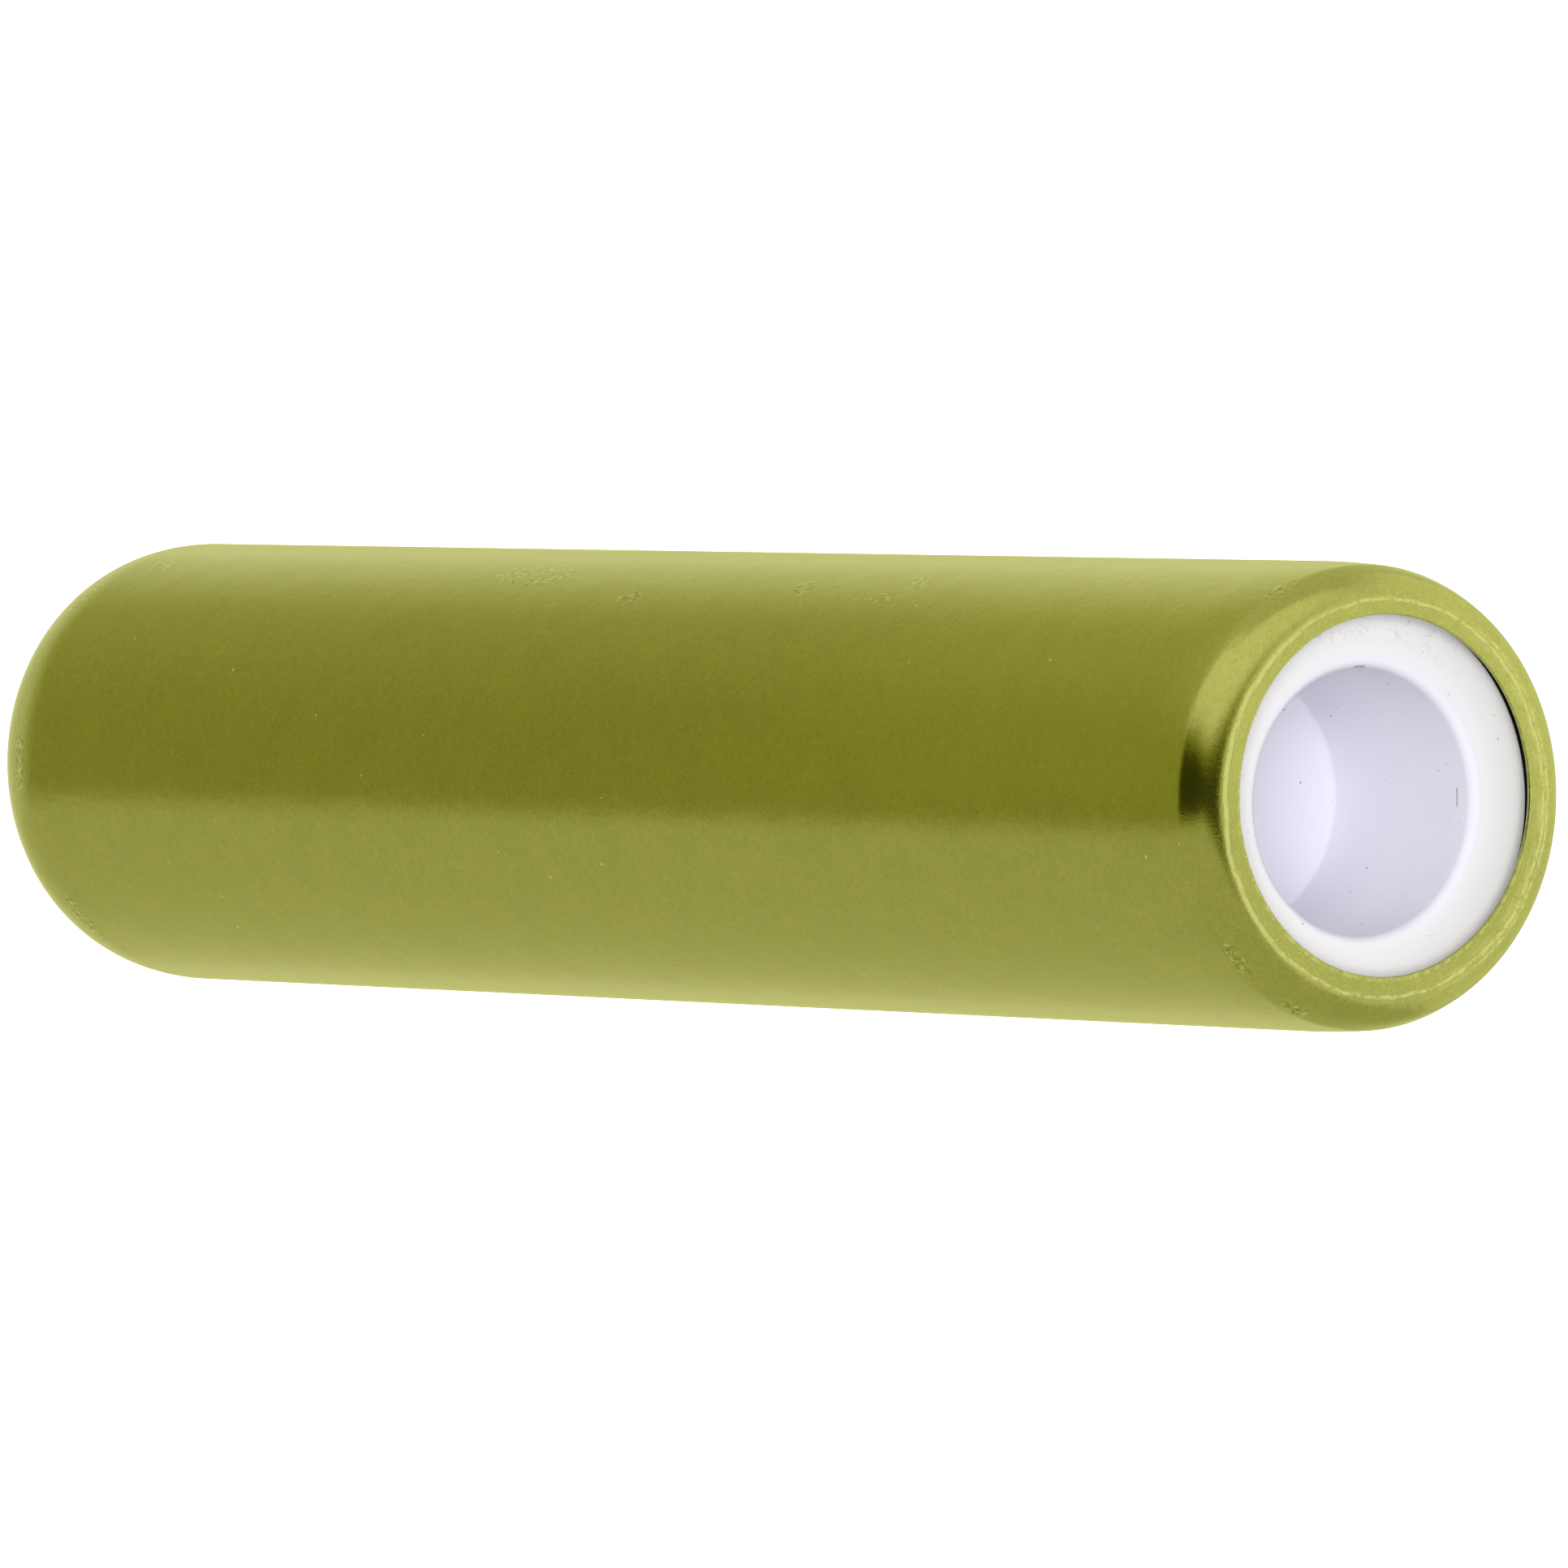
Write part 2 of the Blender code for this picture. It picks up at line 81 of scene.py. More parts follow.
# Cup, and the seal round it
BOSS_RADIUS = 5.93
BOSS_HEIGHT = 1.15
BOSS_ROUND = 0.1
FLANGE_THICKNESS = 0.9
BORE_RADIUS = 3.98
BORE_DEPTH = 6.8
BORE_ROUND = 0.15        # at the floor of the bore
CUP_EDGE = 0.3           # round the mouth of the bore
CUP_WALL = 1.0
SKIRT_ROUND = 0.3
SHANK_HOLE = 0.55
CUP_SHIFT = 0.14         # the cup sits this far off centre under the lip
BORE_SHIFT = -0.10       # and its bore this far off centre in the cup
SEAL_CLEARANCE = 0.03    # from the shifted cup
SEAL_SEAT = 0.05         # from the can

# Contact stud
STUD_SHANK = 0.5
STUD_FOOT = 0.9          # clinched end
STUD_FOOT_HEIGHT = 0.2
STUD_FOOT_ROUND = 0.1
STUD_TRIM = 0.16         # the head is this much smaller than its blank
STUD_ROUND = 0.12
STUD_SEAT = 0.05
STUD_SHIFT = -0.06       # from the bore's centre
DIMPLE_RADIUS = 0.4
DIMPLE_DEPTH = 0.03

# Steps in the turned shapes
FLATS = 256
BASE_STEPS = 32
WALL_STEPS = 20
TOP_STEPS = 12

cell_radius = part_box("can")[1].x / MM
cell_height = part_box("can")[1].z / MM
cup_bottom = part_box("insulating_cup")[0].z / MM
flange_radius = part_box("insulating_cup")[1].x / MM
face_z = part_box("insulating_cup")[1].z / MM
seal_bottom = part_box("seal_ring")[0].z / MM
seal_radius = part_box("seal_ring")[1].x / MM
stud_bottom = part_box("positive_contact")[0].z / MM
stud_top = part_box("positive_contact")[1].z / MM
stud_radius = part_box("positive_contact")[1].x / MM


# ---------------------------------------------------------------- node helpers

def new_material(name, colour, roughness, metallic=0.0):
    material = bpy.data.materials.new(name)
    material.use_nodes = True
    tree = material.node_tree
    shader = tree.nodes["Principled BSDF"]
    shader.inputs["Base Color"].default_value = (*colour, 1.0)
    shader.inputs["Roughness"].default_value = roughness
    shader.inputs["Metallic"].default_value = metallic
    return material, tree, shader


def put(tree, socket, value):
    """Feed a socket from another socket, or set it to a plain value."""
    if isinstance(value, bpy.types.NodeSocket):
        tree.links.new(value, socket)
    elif value is not None:
        socket.default_value = value


def math_node(tree, operation, a, b=None, c=None):
    node = tree.nodes.new("ShaderNodeMath")
    node.operation = operation
    for socket, value in zip(node.inputs, (a, b, c)):
        put(tree, socket, value)
    return node.outputs[0]


def add(tree, *values):
    total = values[0]
    for value in values[1:]:
        total = math_node(tree, "ADD", total, value)
    return total


def product(tree, *values):
    total = values[0]
    for value in values[1:]:
        total = math_node(tree, "MULTIPLY", total, value)
    return total


def most(tree, *values):
    """The largest of the values."""
    total = values[0]
    for value in values[1:]:
        total = math_node(tree, "MAXIMUM", total, value)
    return total


def rest_of(tree, value):
    """What is left of 1."""
    return math_node(tree, "SUBTRACT", 1.0, value)


def smooth(tree, value, low, high):
    """0 at low, 1 at high, with a soft rise between. Low may be the larger of the two."""
    node = tree.nodes.new("ShaderNodeMapRange")
    node.interpolation_type = "SMOOTHSTEP"
    put(tree, node.inputs["Value"], value)
    node.inputs["From Min"].default_value = low
    node.inputs["From Max"].default_value = high
    return node.outputs["Result"]


def band(tree, value, centre, width, softness):
    """1 within half a width of the centre, fading to 0 over the softness."""
    away = math_node(tree, "ABSOLUTE", math_node(tree, "SUBTRACT", value, centre))
    return rest_of(tree, smooth(tree, away, width / 2, width / 2 + softness))


def mix_number(tree, factor, a, b):
    node = tree.nodes.new("ShaderNodeMix")
    put(tree, node.inputs["Factor"], factor)
    put(tree, node.inputs["A"], a)
    put(tree, node.inputs["B"], b)
    return node.outputs["Result"]


def mix_colour(tree, factor, a, b, blend="MIX"):
    node = tree.nodes.new("ShaderNodeMix")
    node.data_type = "RGBA"
    node.blend_type = blend
    put(tree, node.inputs[0], factor)
    put(tree, node.inputs[6], (*a, 1.0) if isinstance(a, tuple) else a)
    put(tree, node.inputs[7], (*b, 1.0) if isinstance(b, tuple) else b)
    return node.outputs[2]


def split(tree, point):
    node = tree.nodes.new("ShaderNodeSeparateXYZ")
    tree.links.new(point, node.inputs[0])
    return node.outputs


def join(tree, x, y, z=None):
    node = tree.nodes.new("ShaderNodeCombineXYZ")
    for socket, value in zip(node.inputs, (x, y, z)):
        put(tree, socket, value)
    return node.outputs[0]


# ---------------------------------------------------------------- places and patterns

def object_point(tree, offset=(0.0, 0.0, 0.0), stretch=(1.0, 1.0, 1.0)):
    """The piece's own coordinates in millimetres."""
    coordinates = tree.nodes.new("ShaderNodeTexCoord")
    mapping = tree.nodes.new("ShaderNodeMapping")
    mapping.inputs["Location"].default_value = offset
    mapping.inputs["Scale"].default_value = [s / MM for s in stretch]
    tree.links.new(coordinates.outputs["Object"], mapping.inputs["Vector"])
    return mapping.outputs["Vector"]


def polar(tree, point):
    """Distance from the cell's axis, angle about it in radians, and height."""
    x, y, z = split(tree, point)
    square = math_node(tree, "MULTIPLY_ADD", x, x, math_node(tree, "MULTIPLY", y, y))
    return math_node(tree, "SQRT", square), math_node(tree, "ARCTAN2", y, x), z


def unrolled(tree, angle, height, offset=(0.0, 0.0), tall=1.0):
    """The wall laid out flat: length round the can, then height, in millimetres."""
    along = math_node(tree, "MULTIPLY_ADD", angle, cell_radius, offset[0])
    return join(tree, along, math_node(tree, "MULTIPLY_ADD", height, tall, offset[1]))


def ring_point(tree, across, angle, turns, fineness):
    """Coordinates that run slowly round the axis and quickly across it, for marks turned on a lathe."""
    round_x = product(tree, math_node(tree, "COSINE", angle), turns)
    round_y = product(tree, math_node(tree, "SINE", angle), turns)
    return join(tree, round_x, round_y, product(tree, across, fineness))


def noise(tree, point, size, detail=2.0, roughness=0.5):
    """Noise with features of about the given size in millimetres."""
    node = tree.nodes.new("ShaderNodeTexNoise")
    put(tree, node.inputs["Vector"], point)
    node.inputs["Scale"].default_value = 1.0 / size
    node.inputs["Detail"].default_value = detail
    node.inputs["Roughness"].default_value = roughness
    return node.outputs["Fac"]


def specks(tree, point, spacing, radius, share):
    """Small round specks in about this share of the cells, one cell to each spacing in millimetres."""
    node = tree.nodes.new("ShaderNodeTexVoronoi")
    put(tree, node.inputs["Vector"], point)
    node.inputs["Scale"].default_value = 1.0 / spacing
    rim = radius / spacing
    near = rest_of(tree, smooth(tree, node.outputs["Distance"], rim * 0.6, rim))
    chosen = tree.nodes.new("ShaderNodeSeparateColor")
    tree.links.new(node.outputs["Color"], chosen.inputs[0])
    return product(tree, near, math_node(tree, "GREATER_THAN", chosen.outputs[0], 1.0 - share))


def patch(tree, angle, height, at, size):
    """1 at a place on the wall, given as degrees about the axis and height, fading out over its size."""
    across = math_node(tree, "SUBTRACT", angle, math.radians(at[0]))
    across = product(tree, across, cell_radius / size[0])
    up = product(tree, math_node(tree, "SUBTRACT", height, at[1]), 1.0 / size[1])
    square = math_node(tree, "MULTIPLY_ADD", across, across, math_node(tree, "MULTIPLY", up, up))
    return rest_of(tree, smooth(tree, square, 0.3, 1.0))


def bump(tree, height, depth, normal=None):
    """Turn a 0 to 1 height into relief of the given depth in millimetres."""
    node = tree.nodes.new("ShaderNodeBump")
    node.inputs["Distance"].default_value = depth * MM
    put(tree, node.inputs["Height"], height)
    put(tree, node.inputs["Normal"], normal)
    return node.outputs["Normal"]


# ---------------------------------------------------------------- the can's coating

OLIVE = (0.275, 0.284, 0.094)
OLIVE_EDGE_TINT = (0.95, 0.95, 0.80)
OLIVE_FLECK = (0.62, 0.64, 0.34)
OLIVE_RUBBED = (0.50, 0.51, 0.24)
OLIVE_PIT = (0.09, 0.09, 0.01)
COATING_RELIEF = 0.0017

# Places on the wall with fine dents and scratches: degrees about the axis and height, then half width
# and half height
WEAR_PATCHES = (
    ((-151.0, 25.5), (0.9, 2.6)), ((-141.0, 32.0), (0.35, 0.8)), ((-146.5, 40.4), (0.5, 0.7)),
    ((-143.0, 45.0), (0.3, 0.9)), ((-150.5, 46.0), (0.5, 0.7)), ((-142.0, 1.6), (1.4, 0.9)),
    ((-152.0, 4.2), (0.5, 0.7)), ((-88.0, 1.8), (1.4, 0.35)), ((-42.0, 2.4), (1.4, 0.5)),
    ((-152.0, 63.9), (0.8, 0.4)), ((-44.0, 64.3), (0.9, 0.3)), ((-22.0, 64.3), (0.7, 0.3)),
)


def wall_marks(tree, angle, height, on_wall):
    """Light flecks and dark pits over the wall, with nicks where it is worn: light, dark and relief."""
    wide = specks(tree, unrolled(tree, angle, height), 1.5, 0.058, 0.45)
    fine = specks(tree, unrolled(tree, angle, height, (3.0, 9.0)), 0.9, 0.036, 0.22)
    pits = specks(tree, unrolled(tree, angle, height, (7.7, 1.3)), 1.2, 0.045, 0.12)
    worn = most(tree, *[patch(tree, angle, height, at, size) for at, size in WEAR_PATCHES])
    nicks = noise(tree, unrolled(tree, angle, height, tall=0.75), 0.16, 3.0, 0.65)
    light_nicks = product(tree, smooth(tree, nicks, 0.54, 0.62), worn)
    dark_nicks = product(tree, rest_of(tree, smooth(tree, nicks, 0.38, 0.46)), worn)
    light = most(tree, product(tree, add(tree, wide, fine), on_wall), product(tree, light_nicks, 0.6))
    dark = most(tree, product(tree, pits, on_wall, 0.5), product(tree, dark_nicks, 0.55))
    return light, dark, product(tree, nicks, product(tree, worn, 2.2))


def lip_marks(tree, point, radius, angle, height):
    """Wear round the lip: a broken bright line, finer lines beside it and flecks, most on the +Y side."""
    around = math_node(tree, "SINE", angle)
    heavy = smooth(tree, around, 0.15, 0.9)
    light_side = smooth(tree, around, -0.3, -0.85)
    wander = noise(tree, ring_point(tree, radius, angle, 4.0, 0.0), 1.0, 3.0, 0.6)
    ring = math_node(tree, "MULTIPLY_ADD", wander, 0.34, math_node(tree, "SUBTRACT", radius, 0.17))
    pieces = noise(tree, ring_point(tree, radius, angle, 22.0, 3.0), 1.0, 4.0, 0.75)
    scuffs = noise(tree, ring_point(tree, radius, angle, 7.0, 20.0), 1.0, 4.0, 0.7)
    flecks = noise(tree, point, 0.09, 3.0, 0.7)

    line = product(tree, band(tree, ring, LIP_OUTER, 0.045, 0.05), smooth(tree, pieces, 0.36, 0.56))
    broad = product(tree, band(tree, ring, LIP_OUTER + 0.02, 0.11, 0.05), smooth(tree, pieces, 0.30, 0.48))
    broad = product(tree, broad, light_side)
    second = product(tree, band(tree, ring, LIP_OUTER + 0.17, 0.03, 0.04), smooth(tree, pieces, 0.44, 0.60))
    second = product(tree, second, heavy)
    turned_lines = product(tree, smooth(tree, scuffs, 0.54, 0.70), band(tree, radius, 5.88, 0.30, 0.30))
    turned_lines = product(tree, turned_lines, mix_number(tree, heavy, 0.35, 1.0))
    rubbed = product(tree, band(tree, radius, LIP_OUTER, 0.25, 0.2), heavy)
    rubbed = product(tree, rubbed, smooth(tree, noise(tree, point, 0.5, 3.0), 0.35, 0.6))
    flecks = product(tree, smooth(tree, flecks, 0.58, 0.67), band(tree, radius, 5.75, 0.7, 0.3))
    edge = product(tree, band(tree, radius, LIP_INNER + 0.02, 0.06, 0.05), smooth(tree, pieces, 0.42, 0.6))

    wear = add(tree, most(tree, line, broad), second, product(tree, turned_lines, 1.3))
    wear = add(tree, wear, product(tree, flecks, 0.6), product(tree, edge, 0.6), product(tree, rubbed, 0.35))
    on_lip = smooth(tree, height, cell_height - 0.45, cell_height - 0.12)
    return math_node(tree, "MINIMUM", product(tree, wear, on_lip), 1.0)


def olive_coating():
    """Satin metallic olive coating with fine grain, specks, wear round the rolled lip, and painted light high
    on the −X side.
    """
    material, tree, shader = new_material("olive_coating", OLIVE, 0.22, 1.0)
    shader.inputs["Specular Tint"].default_value = (*OLIVE_EDGE_TINT, 1.0)
    point = object_point(tree)
    radius, angle, height = polar(tree, point)
    on_wall = rest_of(tree, smooth(tree, height, cell_height - 1.0, cell_height - 0.6))
    light, dark, nicks = wall_marks(tree, angle, height, on_wall)
    lip_wear = lip_marks(tree, point, radius, angle, height)
    grain = noise(tree, point, 0.055, 1.0, 0.6)
    blotch = noise(tree, point, 0.22, 2.0, 0.6)
    mottle = noise(tree, point, 1.6, 3.0)
    peel = noise(tree, point, 0.35, 2.0)

    shade = add(tree, 0.62, product(tree, grain, 0.38), product(tree, blotch, 0.24))
    shade = add(tree, shade, product(tree, mottle, 0.14))
    # Painted light: the coating is made up to 12% lighter high on the −X side, standing in for the light that
    # falls there.
    toward_side = product(tree, split(tree, point)[0], -1.0)
    painted_light_side = product(tree, smooth(tree, height, 36.0, 60.0), smooth(tree, toward_side, -1.5, 1.0))
    shade = product(tree, shade, math_node(tree, "MULTIPLY_ADD", painted_light_side, 0.12, 1.0))
    colour = mix_colour(tree, 1.0, OLIVE, shade, "MULTIPLY")
    colour = mix_colour(tree, product(tree, light, 0.75), colour, OLIVE_FLECK)
    colour = mix_colour(tree, product(tree, lip_wear, 0.75), colour, OLIVE_RUBBED)
    colour = mix_colour(tree, dark, colour, OLIVE_PIT)
    put(tree, shader.inputs["Base Color"], colour)

    roughness = add(tree, 0.13, product(tree, grain, 0.07), product(tree, light, 0.15))
    roughness = add(tree, roughness, product(tree, lip_wear, 0.12))
    put(tree, shader.inputs["Roughness"], roughness)

    drawn = noise(tree, ring_point(tree, height, angle, 3.0, 14.0), 1.0, 3.0, 0.6)
    drawn = product(tree, drawn, smooth(tree, height, cell_height - 2.5, cell_height - 0.9))
    waves = noise(tree, unrolled(tree, angle, height, tall=0.6), 1.1, 3.0, 0.55)
    waves = product(tree, waves, product(tree, on_wall, 9.0))
    relief = add(tree, product(tree, grain, 0.9), product(tree, peel, 1.6), waves, product(tree, drawn, 1.2))
    relief = add(tree, relief, product(tree, lip_wear, 0.8), nicks)
    put(tree, shader.inputs["Normal"], bump(tree, relief, COATING_RELIEF))
    return material


# ---------------------------------------------------------------- the cup's plastic

FACE_TONES = (0.875, 0.86, 0.885), (0.905, 0.89, 0.92)
# Painted light: a brighter tone for the face near the rim, offsetting the shade that the lip throws there.
FACE_RIM_LIGHT = (0.985, 0.97, 0.985)
# Painted shade: the bore is given a cooler, slightly darker tone than the face of the same plastic.
BORE_SHADE_TONES = (0.85, 0.835, 0.925), (0.88, 0.865, 0.95)
# Painted shade: darker still toward the floor of the bore, where the recess is shaded.
BORE_DEEP_SHADE = (0.825, 0.81, 0.90)
# Painted shade: a darker band on the rounding of the bore's mouth.
MOUTH_SHADE_TONE = (0.75, 0.735, 0.80)
SMUDGE_TONE = (0.36, 0.37, 0.38)
DUST_TONE = (0.22, 0.22, 0.24)
SCRATCH_TONE = (0.30, 0.31, 0.16)


def short_scratches(tree, point):
    """Two short scratches: one down the far wall of the bore, one on the edge of its mouth."""
    x, y, z = split(tree, point)
    far_wall = smooth(tree, y, 3.0, 3.4)
    on_wall = product(tree, band(tree, x, -0.1, 0.5, 0.05), band(tree, z, face_z - 0.72, 0.03, 0.04))
    on_wall = product(tree, on_wall, far_wall)
    mouth_edge = smooth(tree, product(tree, x, -1.0), 3.0, 3.4)
    on_edge = product(tree, band(tree, y, -0.36, 0.34, 0.06), band(tree, z, face_z - 0.17, 0.10, 0.05))
    on_edge = product(tree, on_edge, mouth_edge)
    return most(tree, on_wall, on_edge)


def white_moulding():
    """White moulded plastic, faintly lavender, with dust specks and grey smudges under the lip. Painted shade
    makes the bore cooler and darker toward its floor and darkens the mouth's rounding; painted light
    brightens the face near the rim.
    """
    material, tree, shader = new_material("white_moulding", (0.83, 0.82, 0.87), 0.38)
    point = object_point(tree)
    radius, angle, height = polar(tree, point)
    cloud = noise(tree, point, 1.8, 3.0)
    grain = noise(tree, point, 0.12, 2.0)

    face = mix_colour(tree, cloud, *FACE_TONES)
    # Painted light: brighten the face between radius 4.6 and 5.5 mm, where the lip shades it.
    face = mix_colour(tree, product(tree, smooth(tree, radius, 4.6, 5.5), 0.8), face, FACE_RIM_LIGHT)
    # Painted shade: the cooler, darker tone of the bore, used below radius 4.1 to 4.5 mm.
    bore = mix_colour(tree, cloud, *BORE_SHADE_TONES)
    # Painted shade: darken the bore toward its floor.
    deep_shade = rest_of(tree, smooth(tree, height, face_z - BORE_DEPTH + 0.2, face_z - 2.5))
    bore = mix_colour(tree, deep_shade, bore, BORE_DEEP_SHADE)
    colour = mix_colour(tree, smooth(tree, radius, 4.1, 4.5), bore, face)
    # Painted shade: darken a band just below the face, on the rounding of the mouth.
    mouth = band(tree, height, face_z - CUP_EDGE / 2, 0.18, 0.08)
    colour = mix_colour(tree, product(tree, mouth, 0.5), colour, MOUTH_SHADE_TONE)

    smudge = smooth(tree, noise(tree, point, 0.32, 5.0, 0.75), 0.53, 0.66)
    smudge = product(tree, smudge, smooth(tree, radius, 4.5, 5.2))
    around = math_node(tree, "SINE", math_node(tree, "ADD", angle, math.radians(50.0)))
    smudge = product(tree, smudge, smooth(tree, around, 0.2, -0.7))
    colour = mix_colour(tree, product(tree, smudge, 0.45), colour, SMUDGE_TONE)
    coarse_dust = specks(tree, point, 0.8, 0.055, 0.5)
    fine_dust = specks(tree, object_point(tree, (5.3, 2.2, 0.7)), 0.55, 0.03, 0.35)
    dust = most(tree, coarse_dust, fine_dust)
    colour = mix_colour(tree, product(tree, dust, 0.75), colour, DUST_TONE)
    colour = mix_colour(tree, product(tree, short_scratches(tree, point), 0.7), colour, SCRATCH_TONE)

    put(tree, shader.inputs["Base Color"], colour)
    put(tree, shader.inputs["Roughness"], add(tree, 0.36, product(tree, grain, 0.12)))
    put(tree, shader.inputs["Normal"], bump(tree, add(tree, grain, product(tree, cloud, 2.0)), 0.002))
    shader.inputs["Subsurface Weight"].default_value = 0.3
    shader.inputs["Subsurface Radius"].default_value = (1.0, 1.0, 1.1)
    shader.inputs["Subsurface Scale"].default_value = 0.00025
    return material


# ---------------------------------------------------------------- finishes inside the can

def grained(name, colour, darker, roughness, metallic, size, depth, stretch=(1.0, 1.0, 1.0)):
    """A finish with one grain: its colour wanders between two tones and its surface follows."""
    material, tree, shader = new_material(name, colour, roughness, metallic)
    point = object_point(tree, stretch=stretch)
    fine = noise(tree, point, size, 4.0, 0.6)
    broad = noise(tree, object_point(tree, (4.0, 1.0, 2.0)), size * 9, 2.0)
    tone = add(tree, product(tree, fine, 0.7), product(tree, broad, 0.3))
    put(tree, shader.inputs["Base Color"], mix_colour(tree, tone, darker, colour))
    put(tree, shader.inputs["Roughness"], add(tree, roughness - 0.06, product(tree, fine, 0.12)))
    put(tree, shader.inputs["Normal"], bump(tree, fine, depth))
    return material


rubber = grained("black_rubber", (0.03, 0.03, 0.032), (0.012, 0.012, 0.013), 0.6, 0.0, 0.1, 0.01)
nickel = grained("nickel_plate", (0.66, 0.63, 0.57), (0.5, 0.48, 0.43), 0.28, 1.0, 0.08, 0.001,
                 (1.0, 0.08, 1.0))
steel = grained("bright_steel", (0.58, 0.58, 0.58), (0.42, 0.42, 0.43), 0.3, 1.0, 0.1, 0.0012,
                (0.1, 1.0, 1.0))
nylon = grained("natural_nylon", (0.74, 0.71, 0.62), (0.64, 0.61, 0.52), 0.45, 0.0, 0.2, 0.003)
fibre = grained("insulating_fibre", (0.52, 0.3, 0.16), (0.3, 0.16, 0.08), 0.8, 0.0, 0.12, 0.02)
film = grained("amber_film", (0.72, 0.5, 0.16), (0.6, 0.4, 0.12), 0.25, 0.0, 0.5, 0.002)
positive = grained("positive_paste", (0.06, 0.06, 0.06), (0.02, 0.02, 0.02), 0.85, 0.0, 0.05, 0.01)
negative = grained("negative_paste", (0.22, 0.22, 0.23), (0.1, 0.1, 0.11), 0.6, 0.7, 0.06, 0.008)
felt = grained("separator_felt", (0.82, 0.82, 0.78), (0.62, 0.62, 0.58), 0.95, 0.0, 0.08, 0.03)

FINISHES = {
    "contact_washer": steel, "support_sleeve": nylon, "vent_cage": steel, "vent_spring": steel,
    "vent_valve": steel, "valve_pad": rubber, "cover_plate": steel, "cover_gasket": nylon,
    "spacer_ring": nylon, "top_insulator": fibre, "positive_collector": nickel, "positive_lead": nickel,
    "inner_separator": felt, "positive_plate": positive, "outer_separator": felt, "negative_plate": negative,
    "winding_core": nylon, "winding_wrap": film, "negative_collector": nickel, "negative_lead": nickel,
    "bottom_insulator": fibre,
}


# ---------------------------------------------------------------- turned pieces

def turning_tree():
    """Geometry nodes that turn the piece's own outline about the cell's axis."""
    tree = bpy.data.node_groups.new("turn_outline", "GeometryNodeTree")
    face = tree.interface
    face.new_socket("Geometry", in_out="INPUT", socket_type="NodeSocketGeometry")
    face.new_socket("Outline Points", in_out="INPUT", socket_type="NodeSocketInt")
    face.new_socket("Flats", in_out="INPUT", socket_type="NodeSocketInt")
    face.new_socket("Finish", in_out="INPUT", socket_type="NodeSocketMaterial")
    face.new_socket("Geometry", in_out="OUTPUT", socket_type="NodeSocketGeometry")
    nodes, links = tree.nodes, tree.links
    given, made = nodes.new("NodeGroupInput"), nodes.new("NodeGroupOutput")

    def calc(operation, a, b=None):
        node = nodes.new("ShaderNodeMath")
        node.operation = operation
        put(tree, node.inputs[0], a)
        put(tree, node.inputs[1], b)
        return node.outputs[0]

    # A unit grid: its columns follow the outline, its rows go once round the axis
    grid = nodes.new("GeometryNodeMeshGrid")
    grid.inputs["Size X"].default_value = 1.0
    grid.inputs["Size Y"].default_value = 1.0
    links.new(given.outputs["Outline Points"], grid.inputs["Vertices X"])
    links.new(calc("ADD", given.outputs["Flats"], 1.0), grid.inputs["Vertices Y"])
    here = nodes.new("ShaderNodeSeparateXYZ")
    links.new(nodes.new("GeometryNodeInputPosition").outputs[0], here.inputs[0])
    last_column = calc("SUBTRACT", given.outputs["Outline Points"], 1.0)
    column = calc("ROUND", calc("MULTIPLY", calc("ADD", here.outputs[0], 0.5), last_column))
    turn = calc("MULTIPLY", calc("ADD", here.outputs[1], 0.5), math.tau)

    outline = nodes.new("GeometryNodeSampleIndex")
    outline.data_type = "FLOAT_VECTOR"
    links.new(given.outputs["Geometry"], outline.inputs["Geometry"])
    links.new(nodes.new("GeometryNodeInputPosition").outputs[0], outline.inputs["Value"])
    links.new(column, outline.inputs["Index"])
    section = nodes.new("ShaderNodeSeparateXYZ")
    links.new(outline.outputs[0], section.inputs[0])
    placed = nodes.new("ShaderNodeCombineXYZ")
    links.new(calc("MULTIPLY", section.outputs[0], calc("COSINE", turn)), placed.inputs[0])
    links.new(calc("MULTIPLY", section.outputs[0], calc("SINE", turn)), placed.inputs[1])
    links.new(section.outputs[2], placed.inputs[2])

    moved = nodes.new("GeometryNodeSetPosition")
    links.new(grid.outputs["Mesh"], moved.inputs["Geometry"])
    links.new(placed.outputs[0], moved.inputs["Position"])
    merged = nodes.new("GeometryNodeMergeByDistance")
    merged.inputs["Distance"].default_value = 1e-7
    links.new(moved.outputs[0], merged.inputs["Geometry"])
    real = nodes.new("GeometryNodeRealizeInstances")
    links.new(merged.outputs[0], real.inputs["Geometry"])
    coated = nodes.new("GeometryNodeSetMaterial")
    links.new(real.outputs[0], coated.inputs["Geometry"])
    links.new(given.outputs["Finish"], coated.inputs["Material"])
    links.new(coated.outputs[0], made.inputs[0])
    return tree


def set_inputs(modifier, **values):
    """Set a tree's named inputs; an underscore in a name stands for a space."""
    sockets = {s.name: s.identifier for s in modifier.node_group.interface.items_tree if s.in_out == "INPUT"}
    for name, value in values.items():
        modifier[sockets[name.replace("_", " ")]] = value


def face_out(mesh):
    bm = bmesh.new()
    bm.from_mesh(mesh)
    bmesh.ops.recalc_face_normals(bm, faces=bm.faces)
    bm.to_mesh(mesh)
    bm.free()


def bake_nodes(name, source, tree, sharp=40.0, **values):
    """Run a geometry tree on a source mesh and keep the result as one plain mesh object."""
    seed = bpy.data.objects.new(name + "_seed", source)
    bpy.context.scene.collection.objects.link(seed)
    modifier = seed.modifiers.new("build", "NODES")
    modifier.node_group = tree
    set_inputs(modifier, **values)
    evaluated = seed.evaluated_get(bpy.context.evaluated_depsgraph_get())
    mesh = bpy.data.meshes.new_from_object(evaluated)
    bpy.data.objects.remove(seed)
    mesh.name = name
    face_out(mesh)
    mesh.shade_smooth()
    mesh.set_sharp_from_angle(angle=math.radians(sharp))
    piece = bpy.data.objects.new(name, mesh)
    bpy.context.scene.collection.objects.link(piece)
    return piece


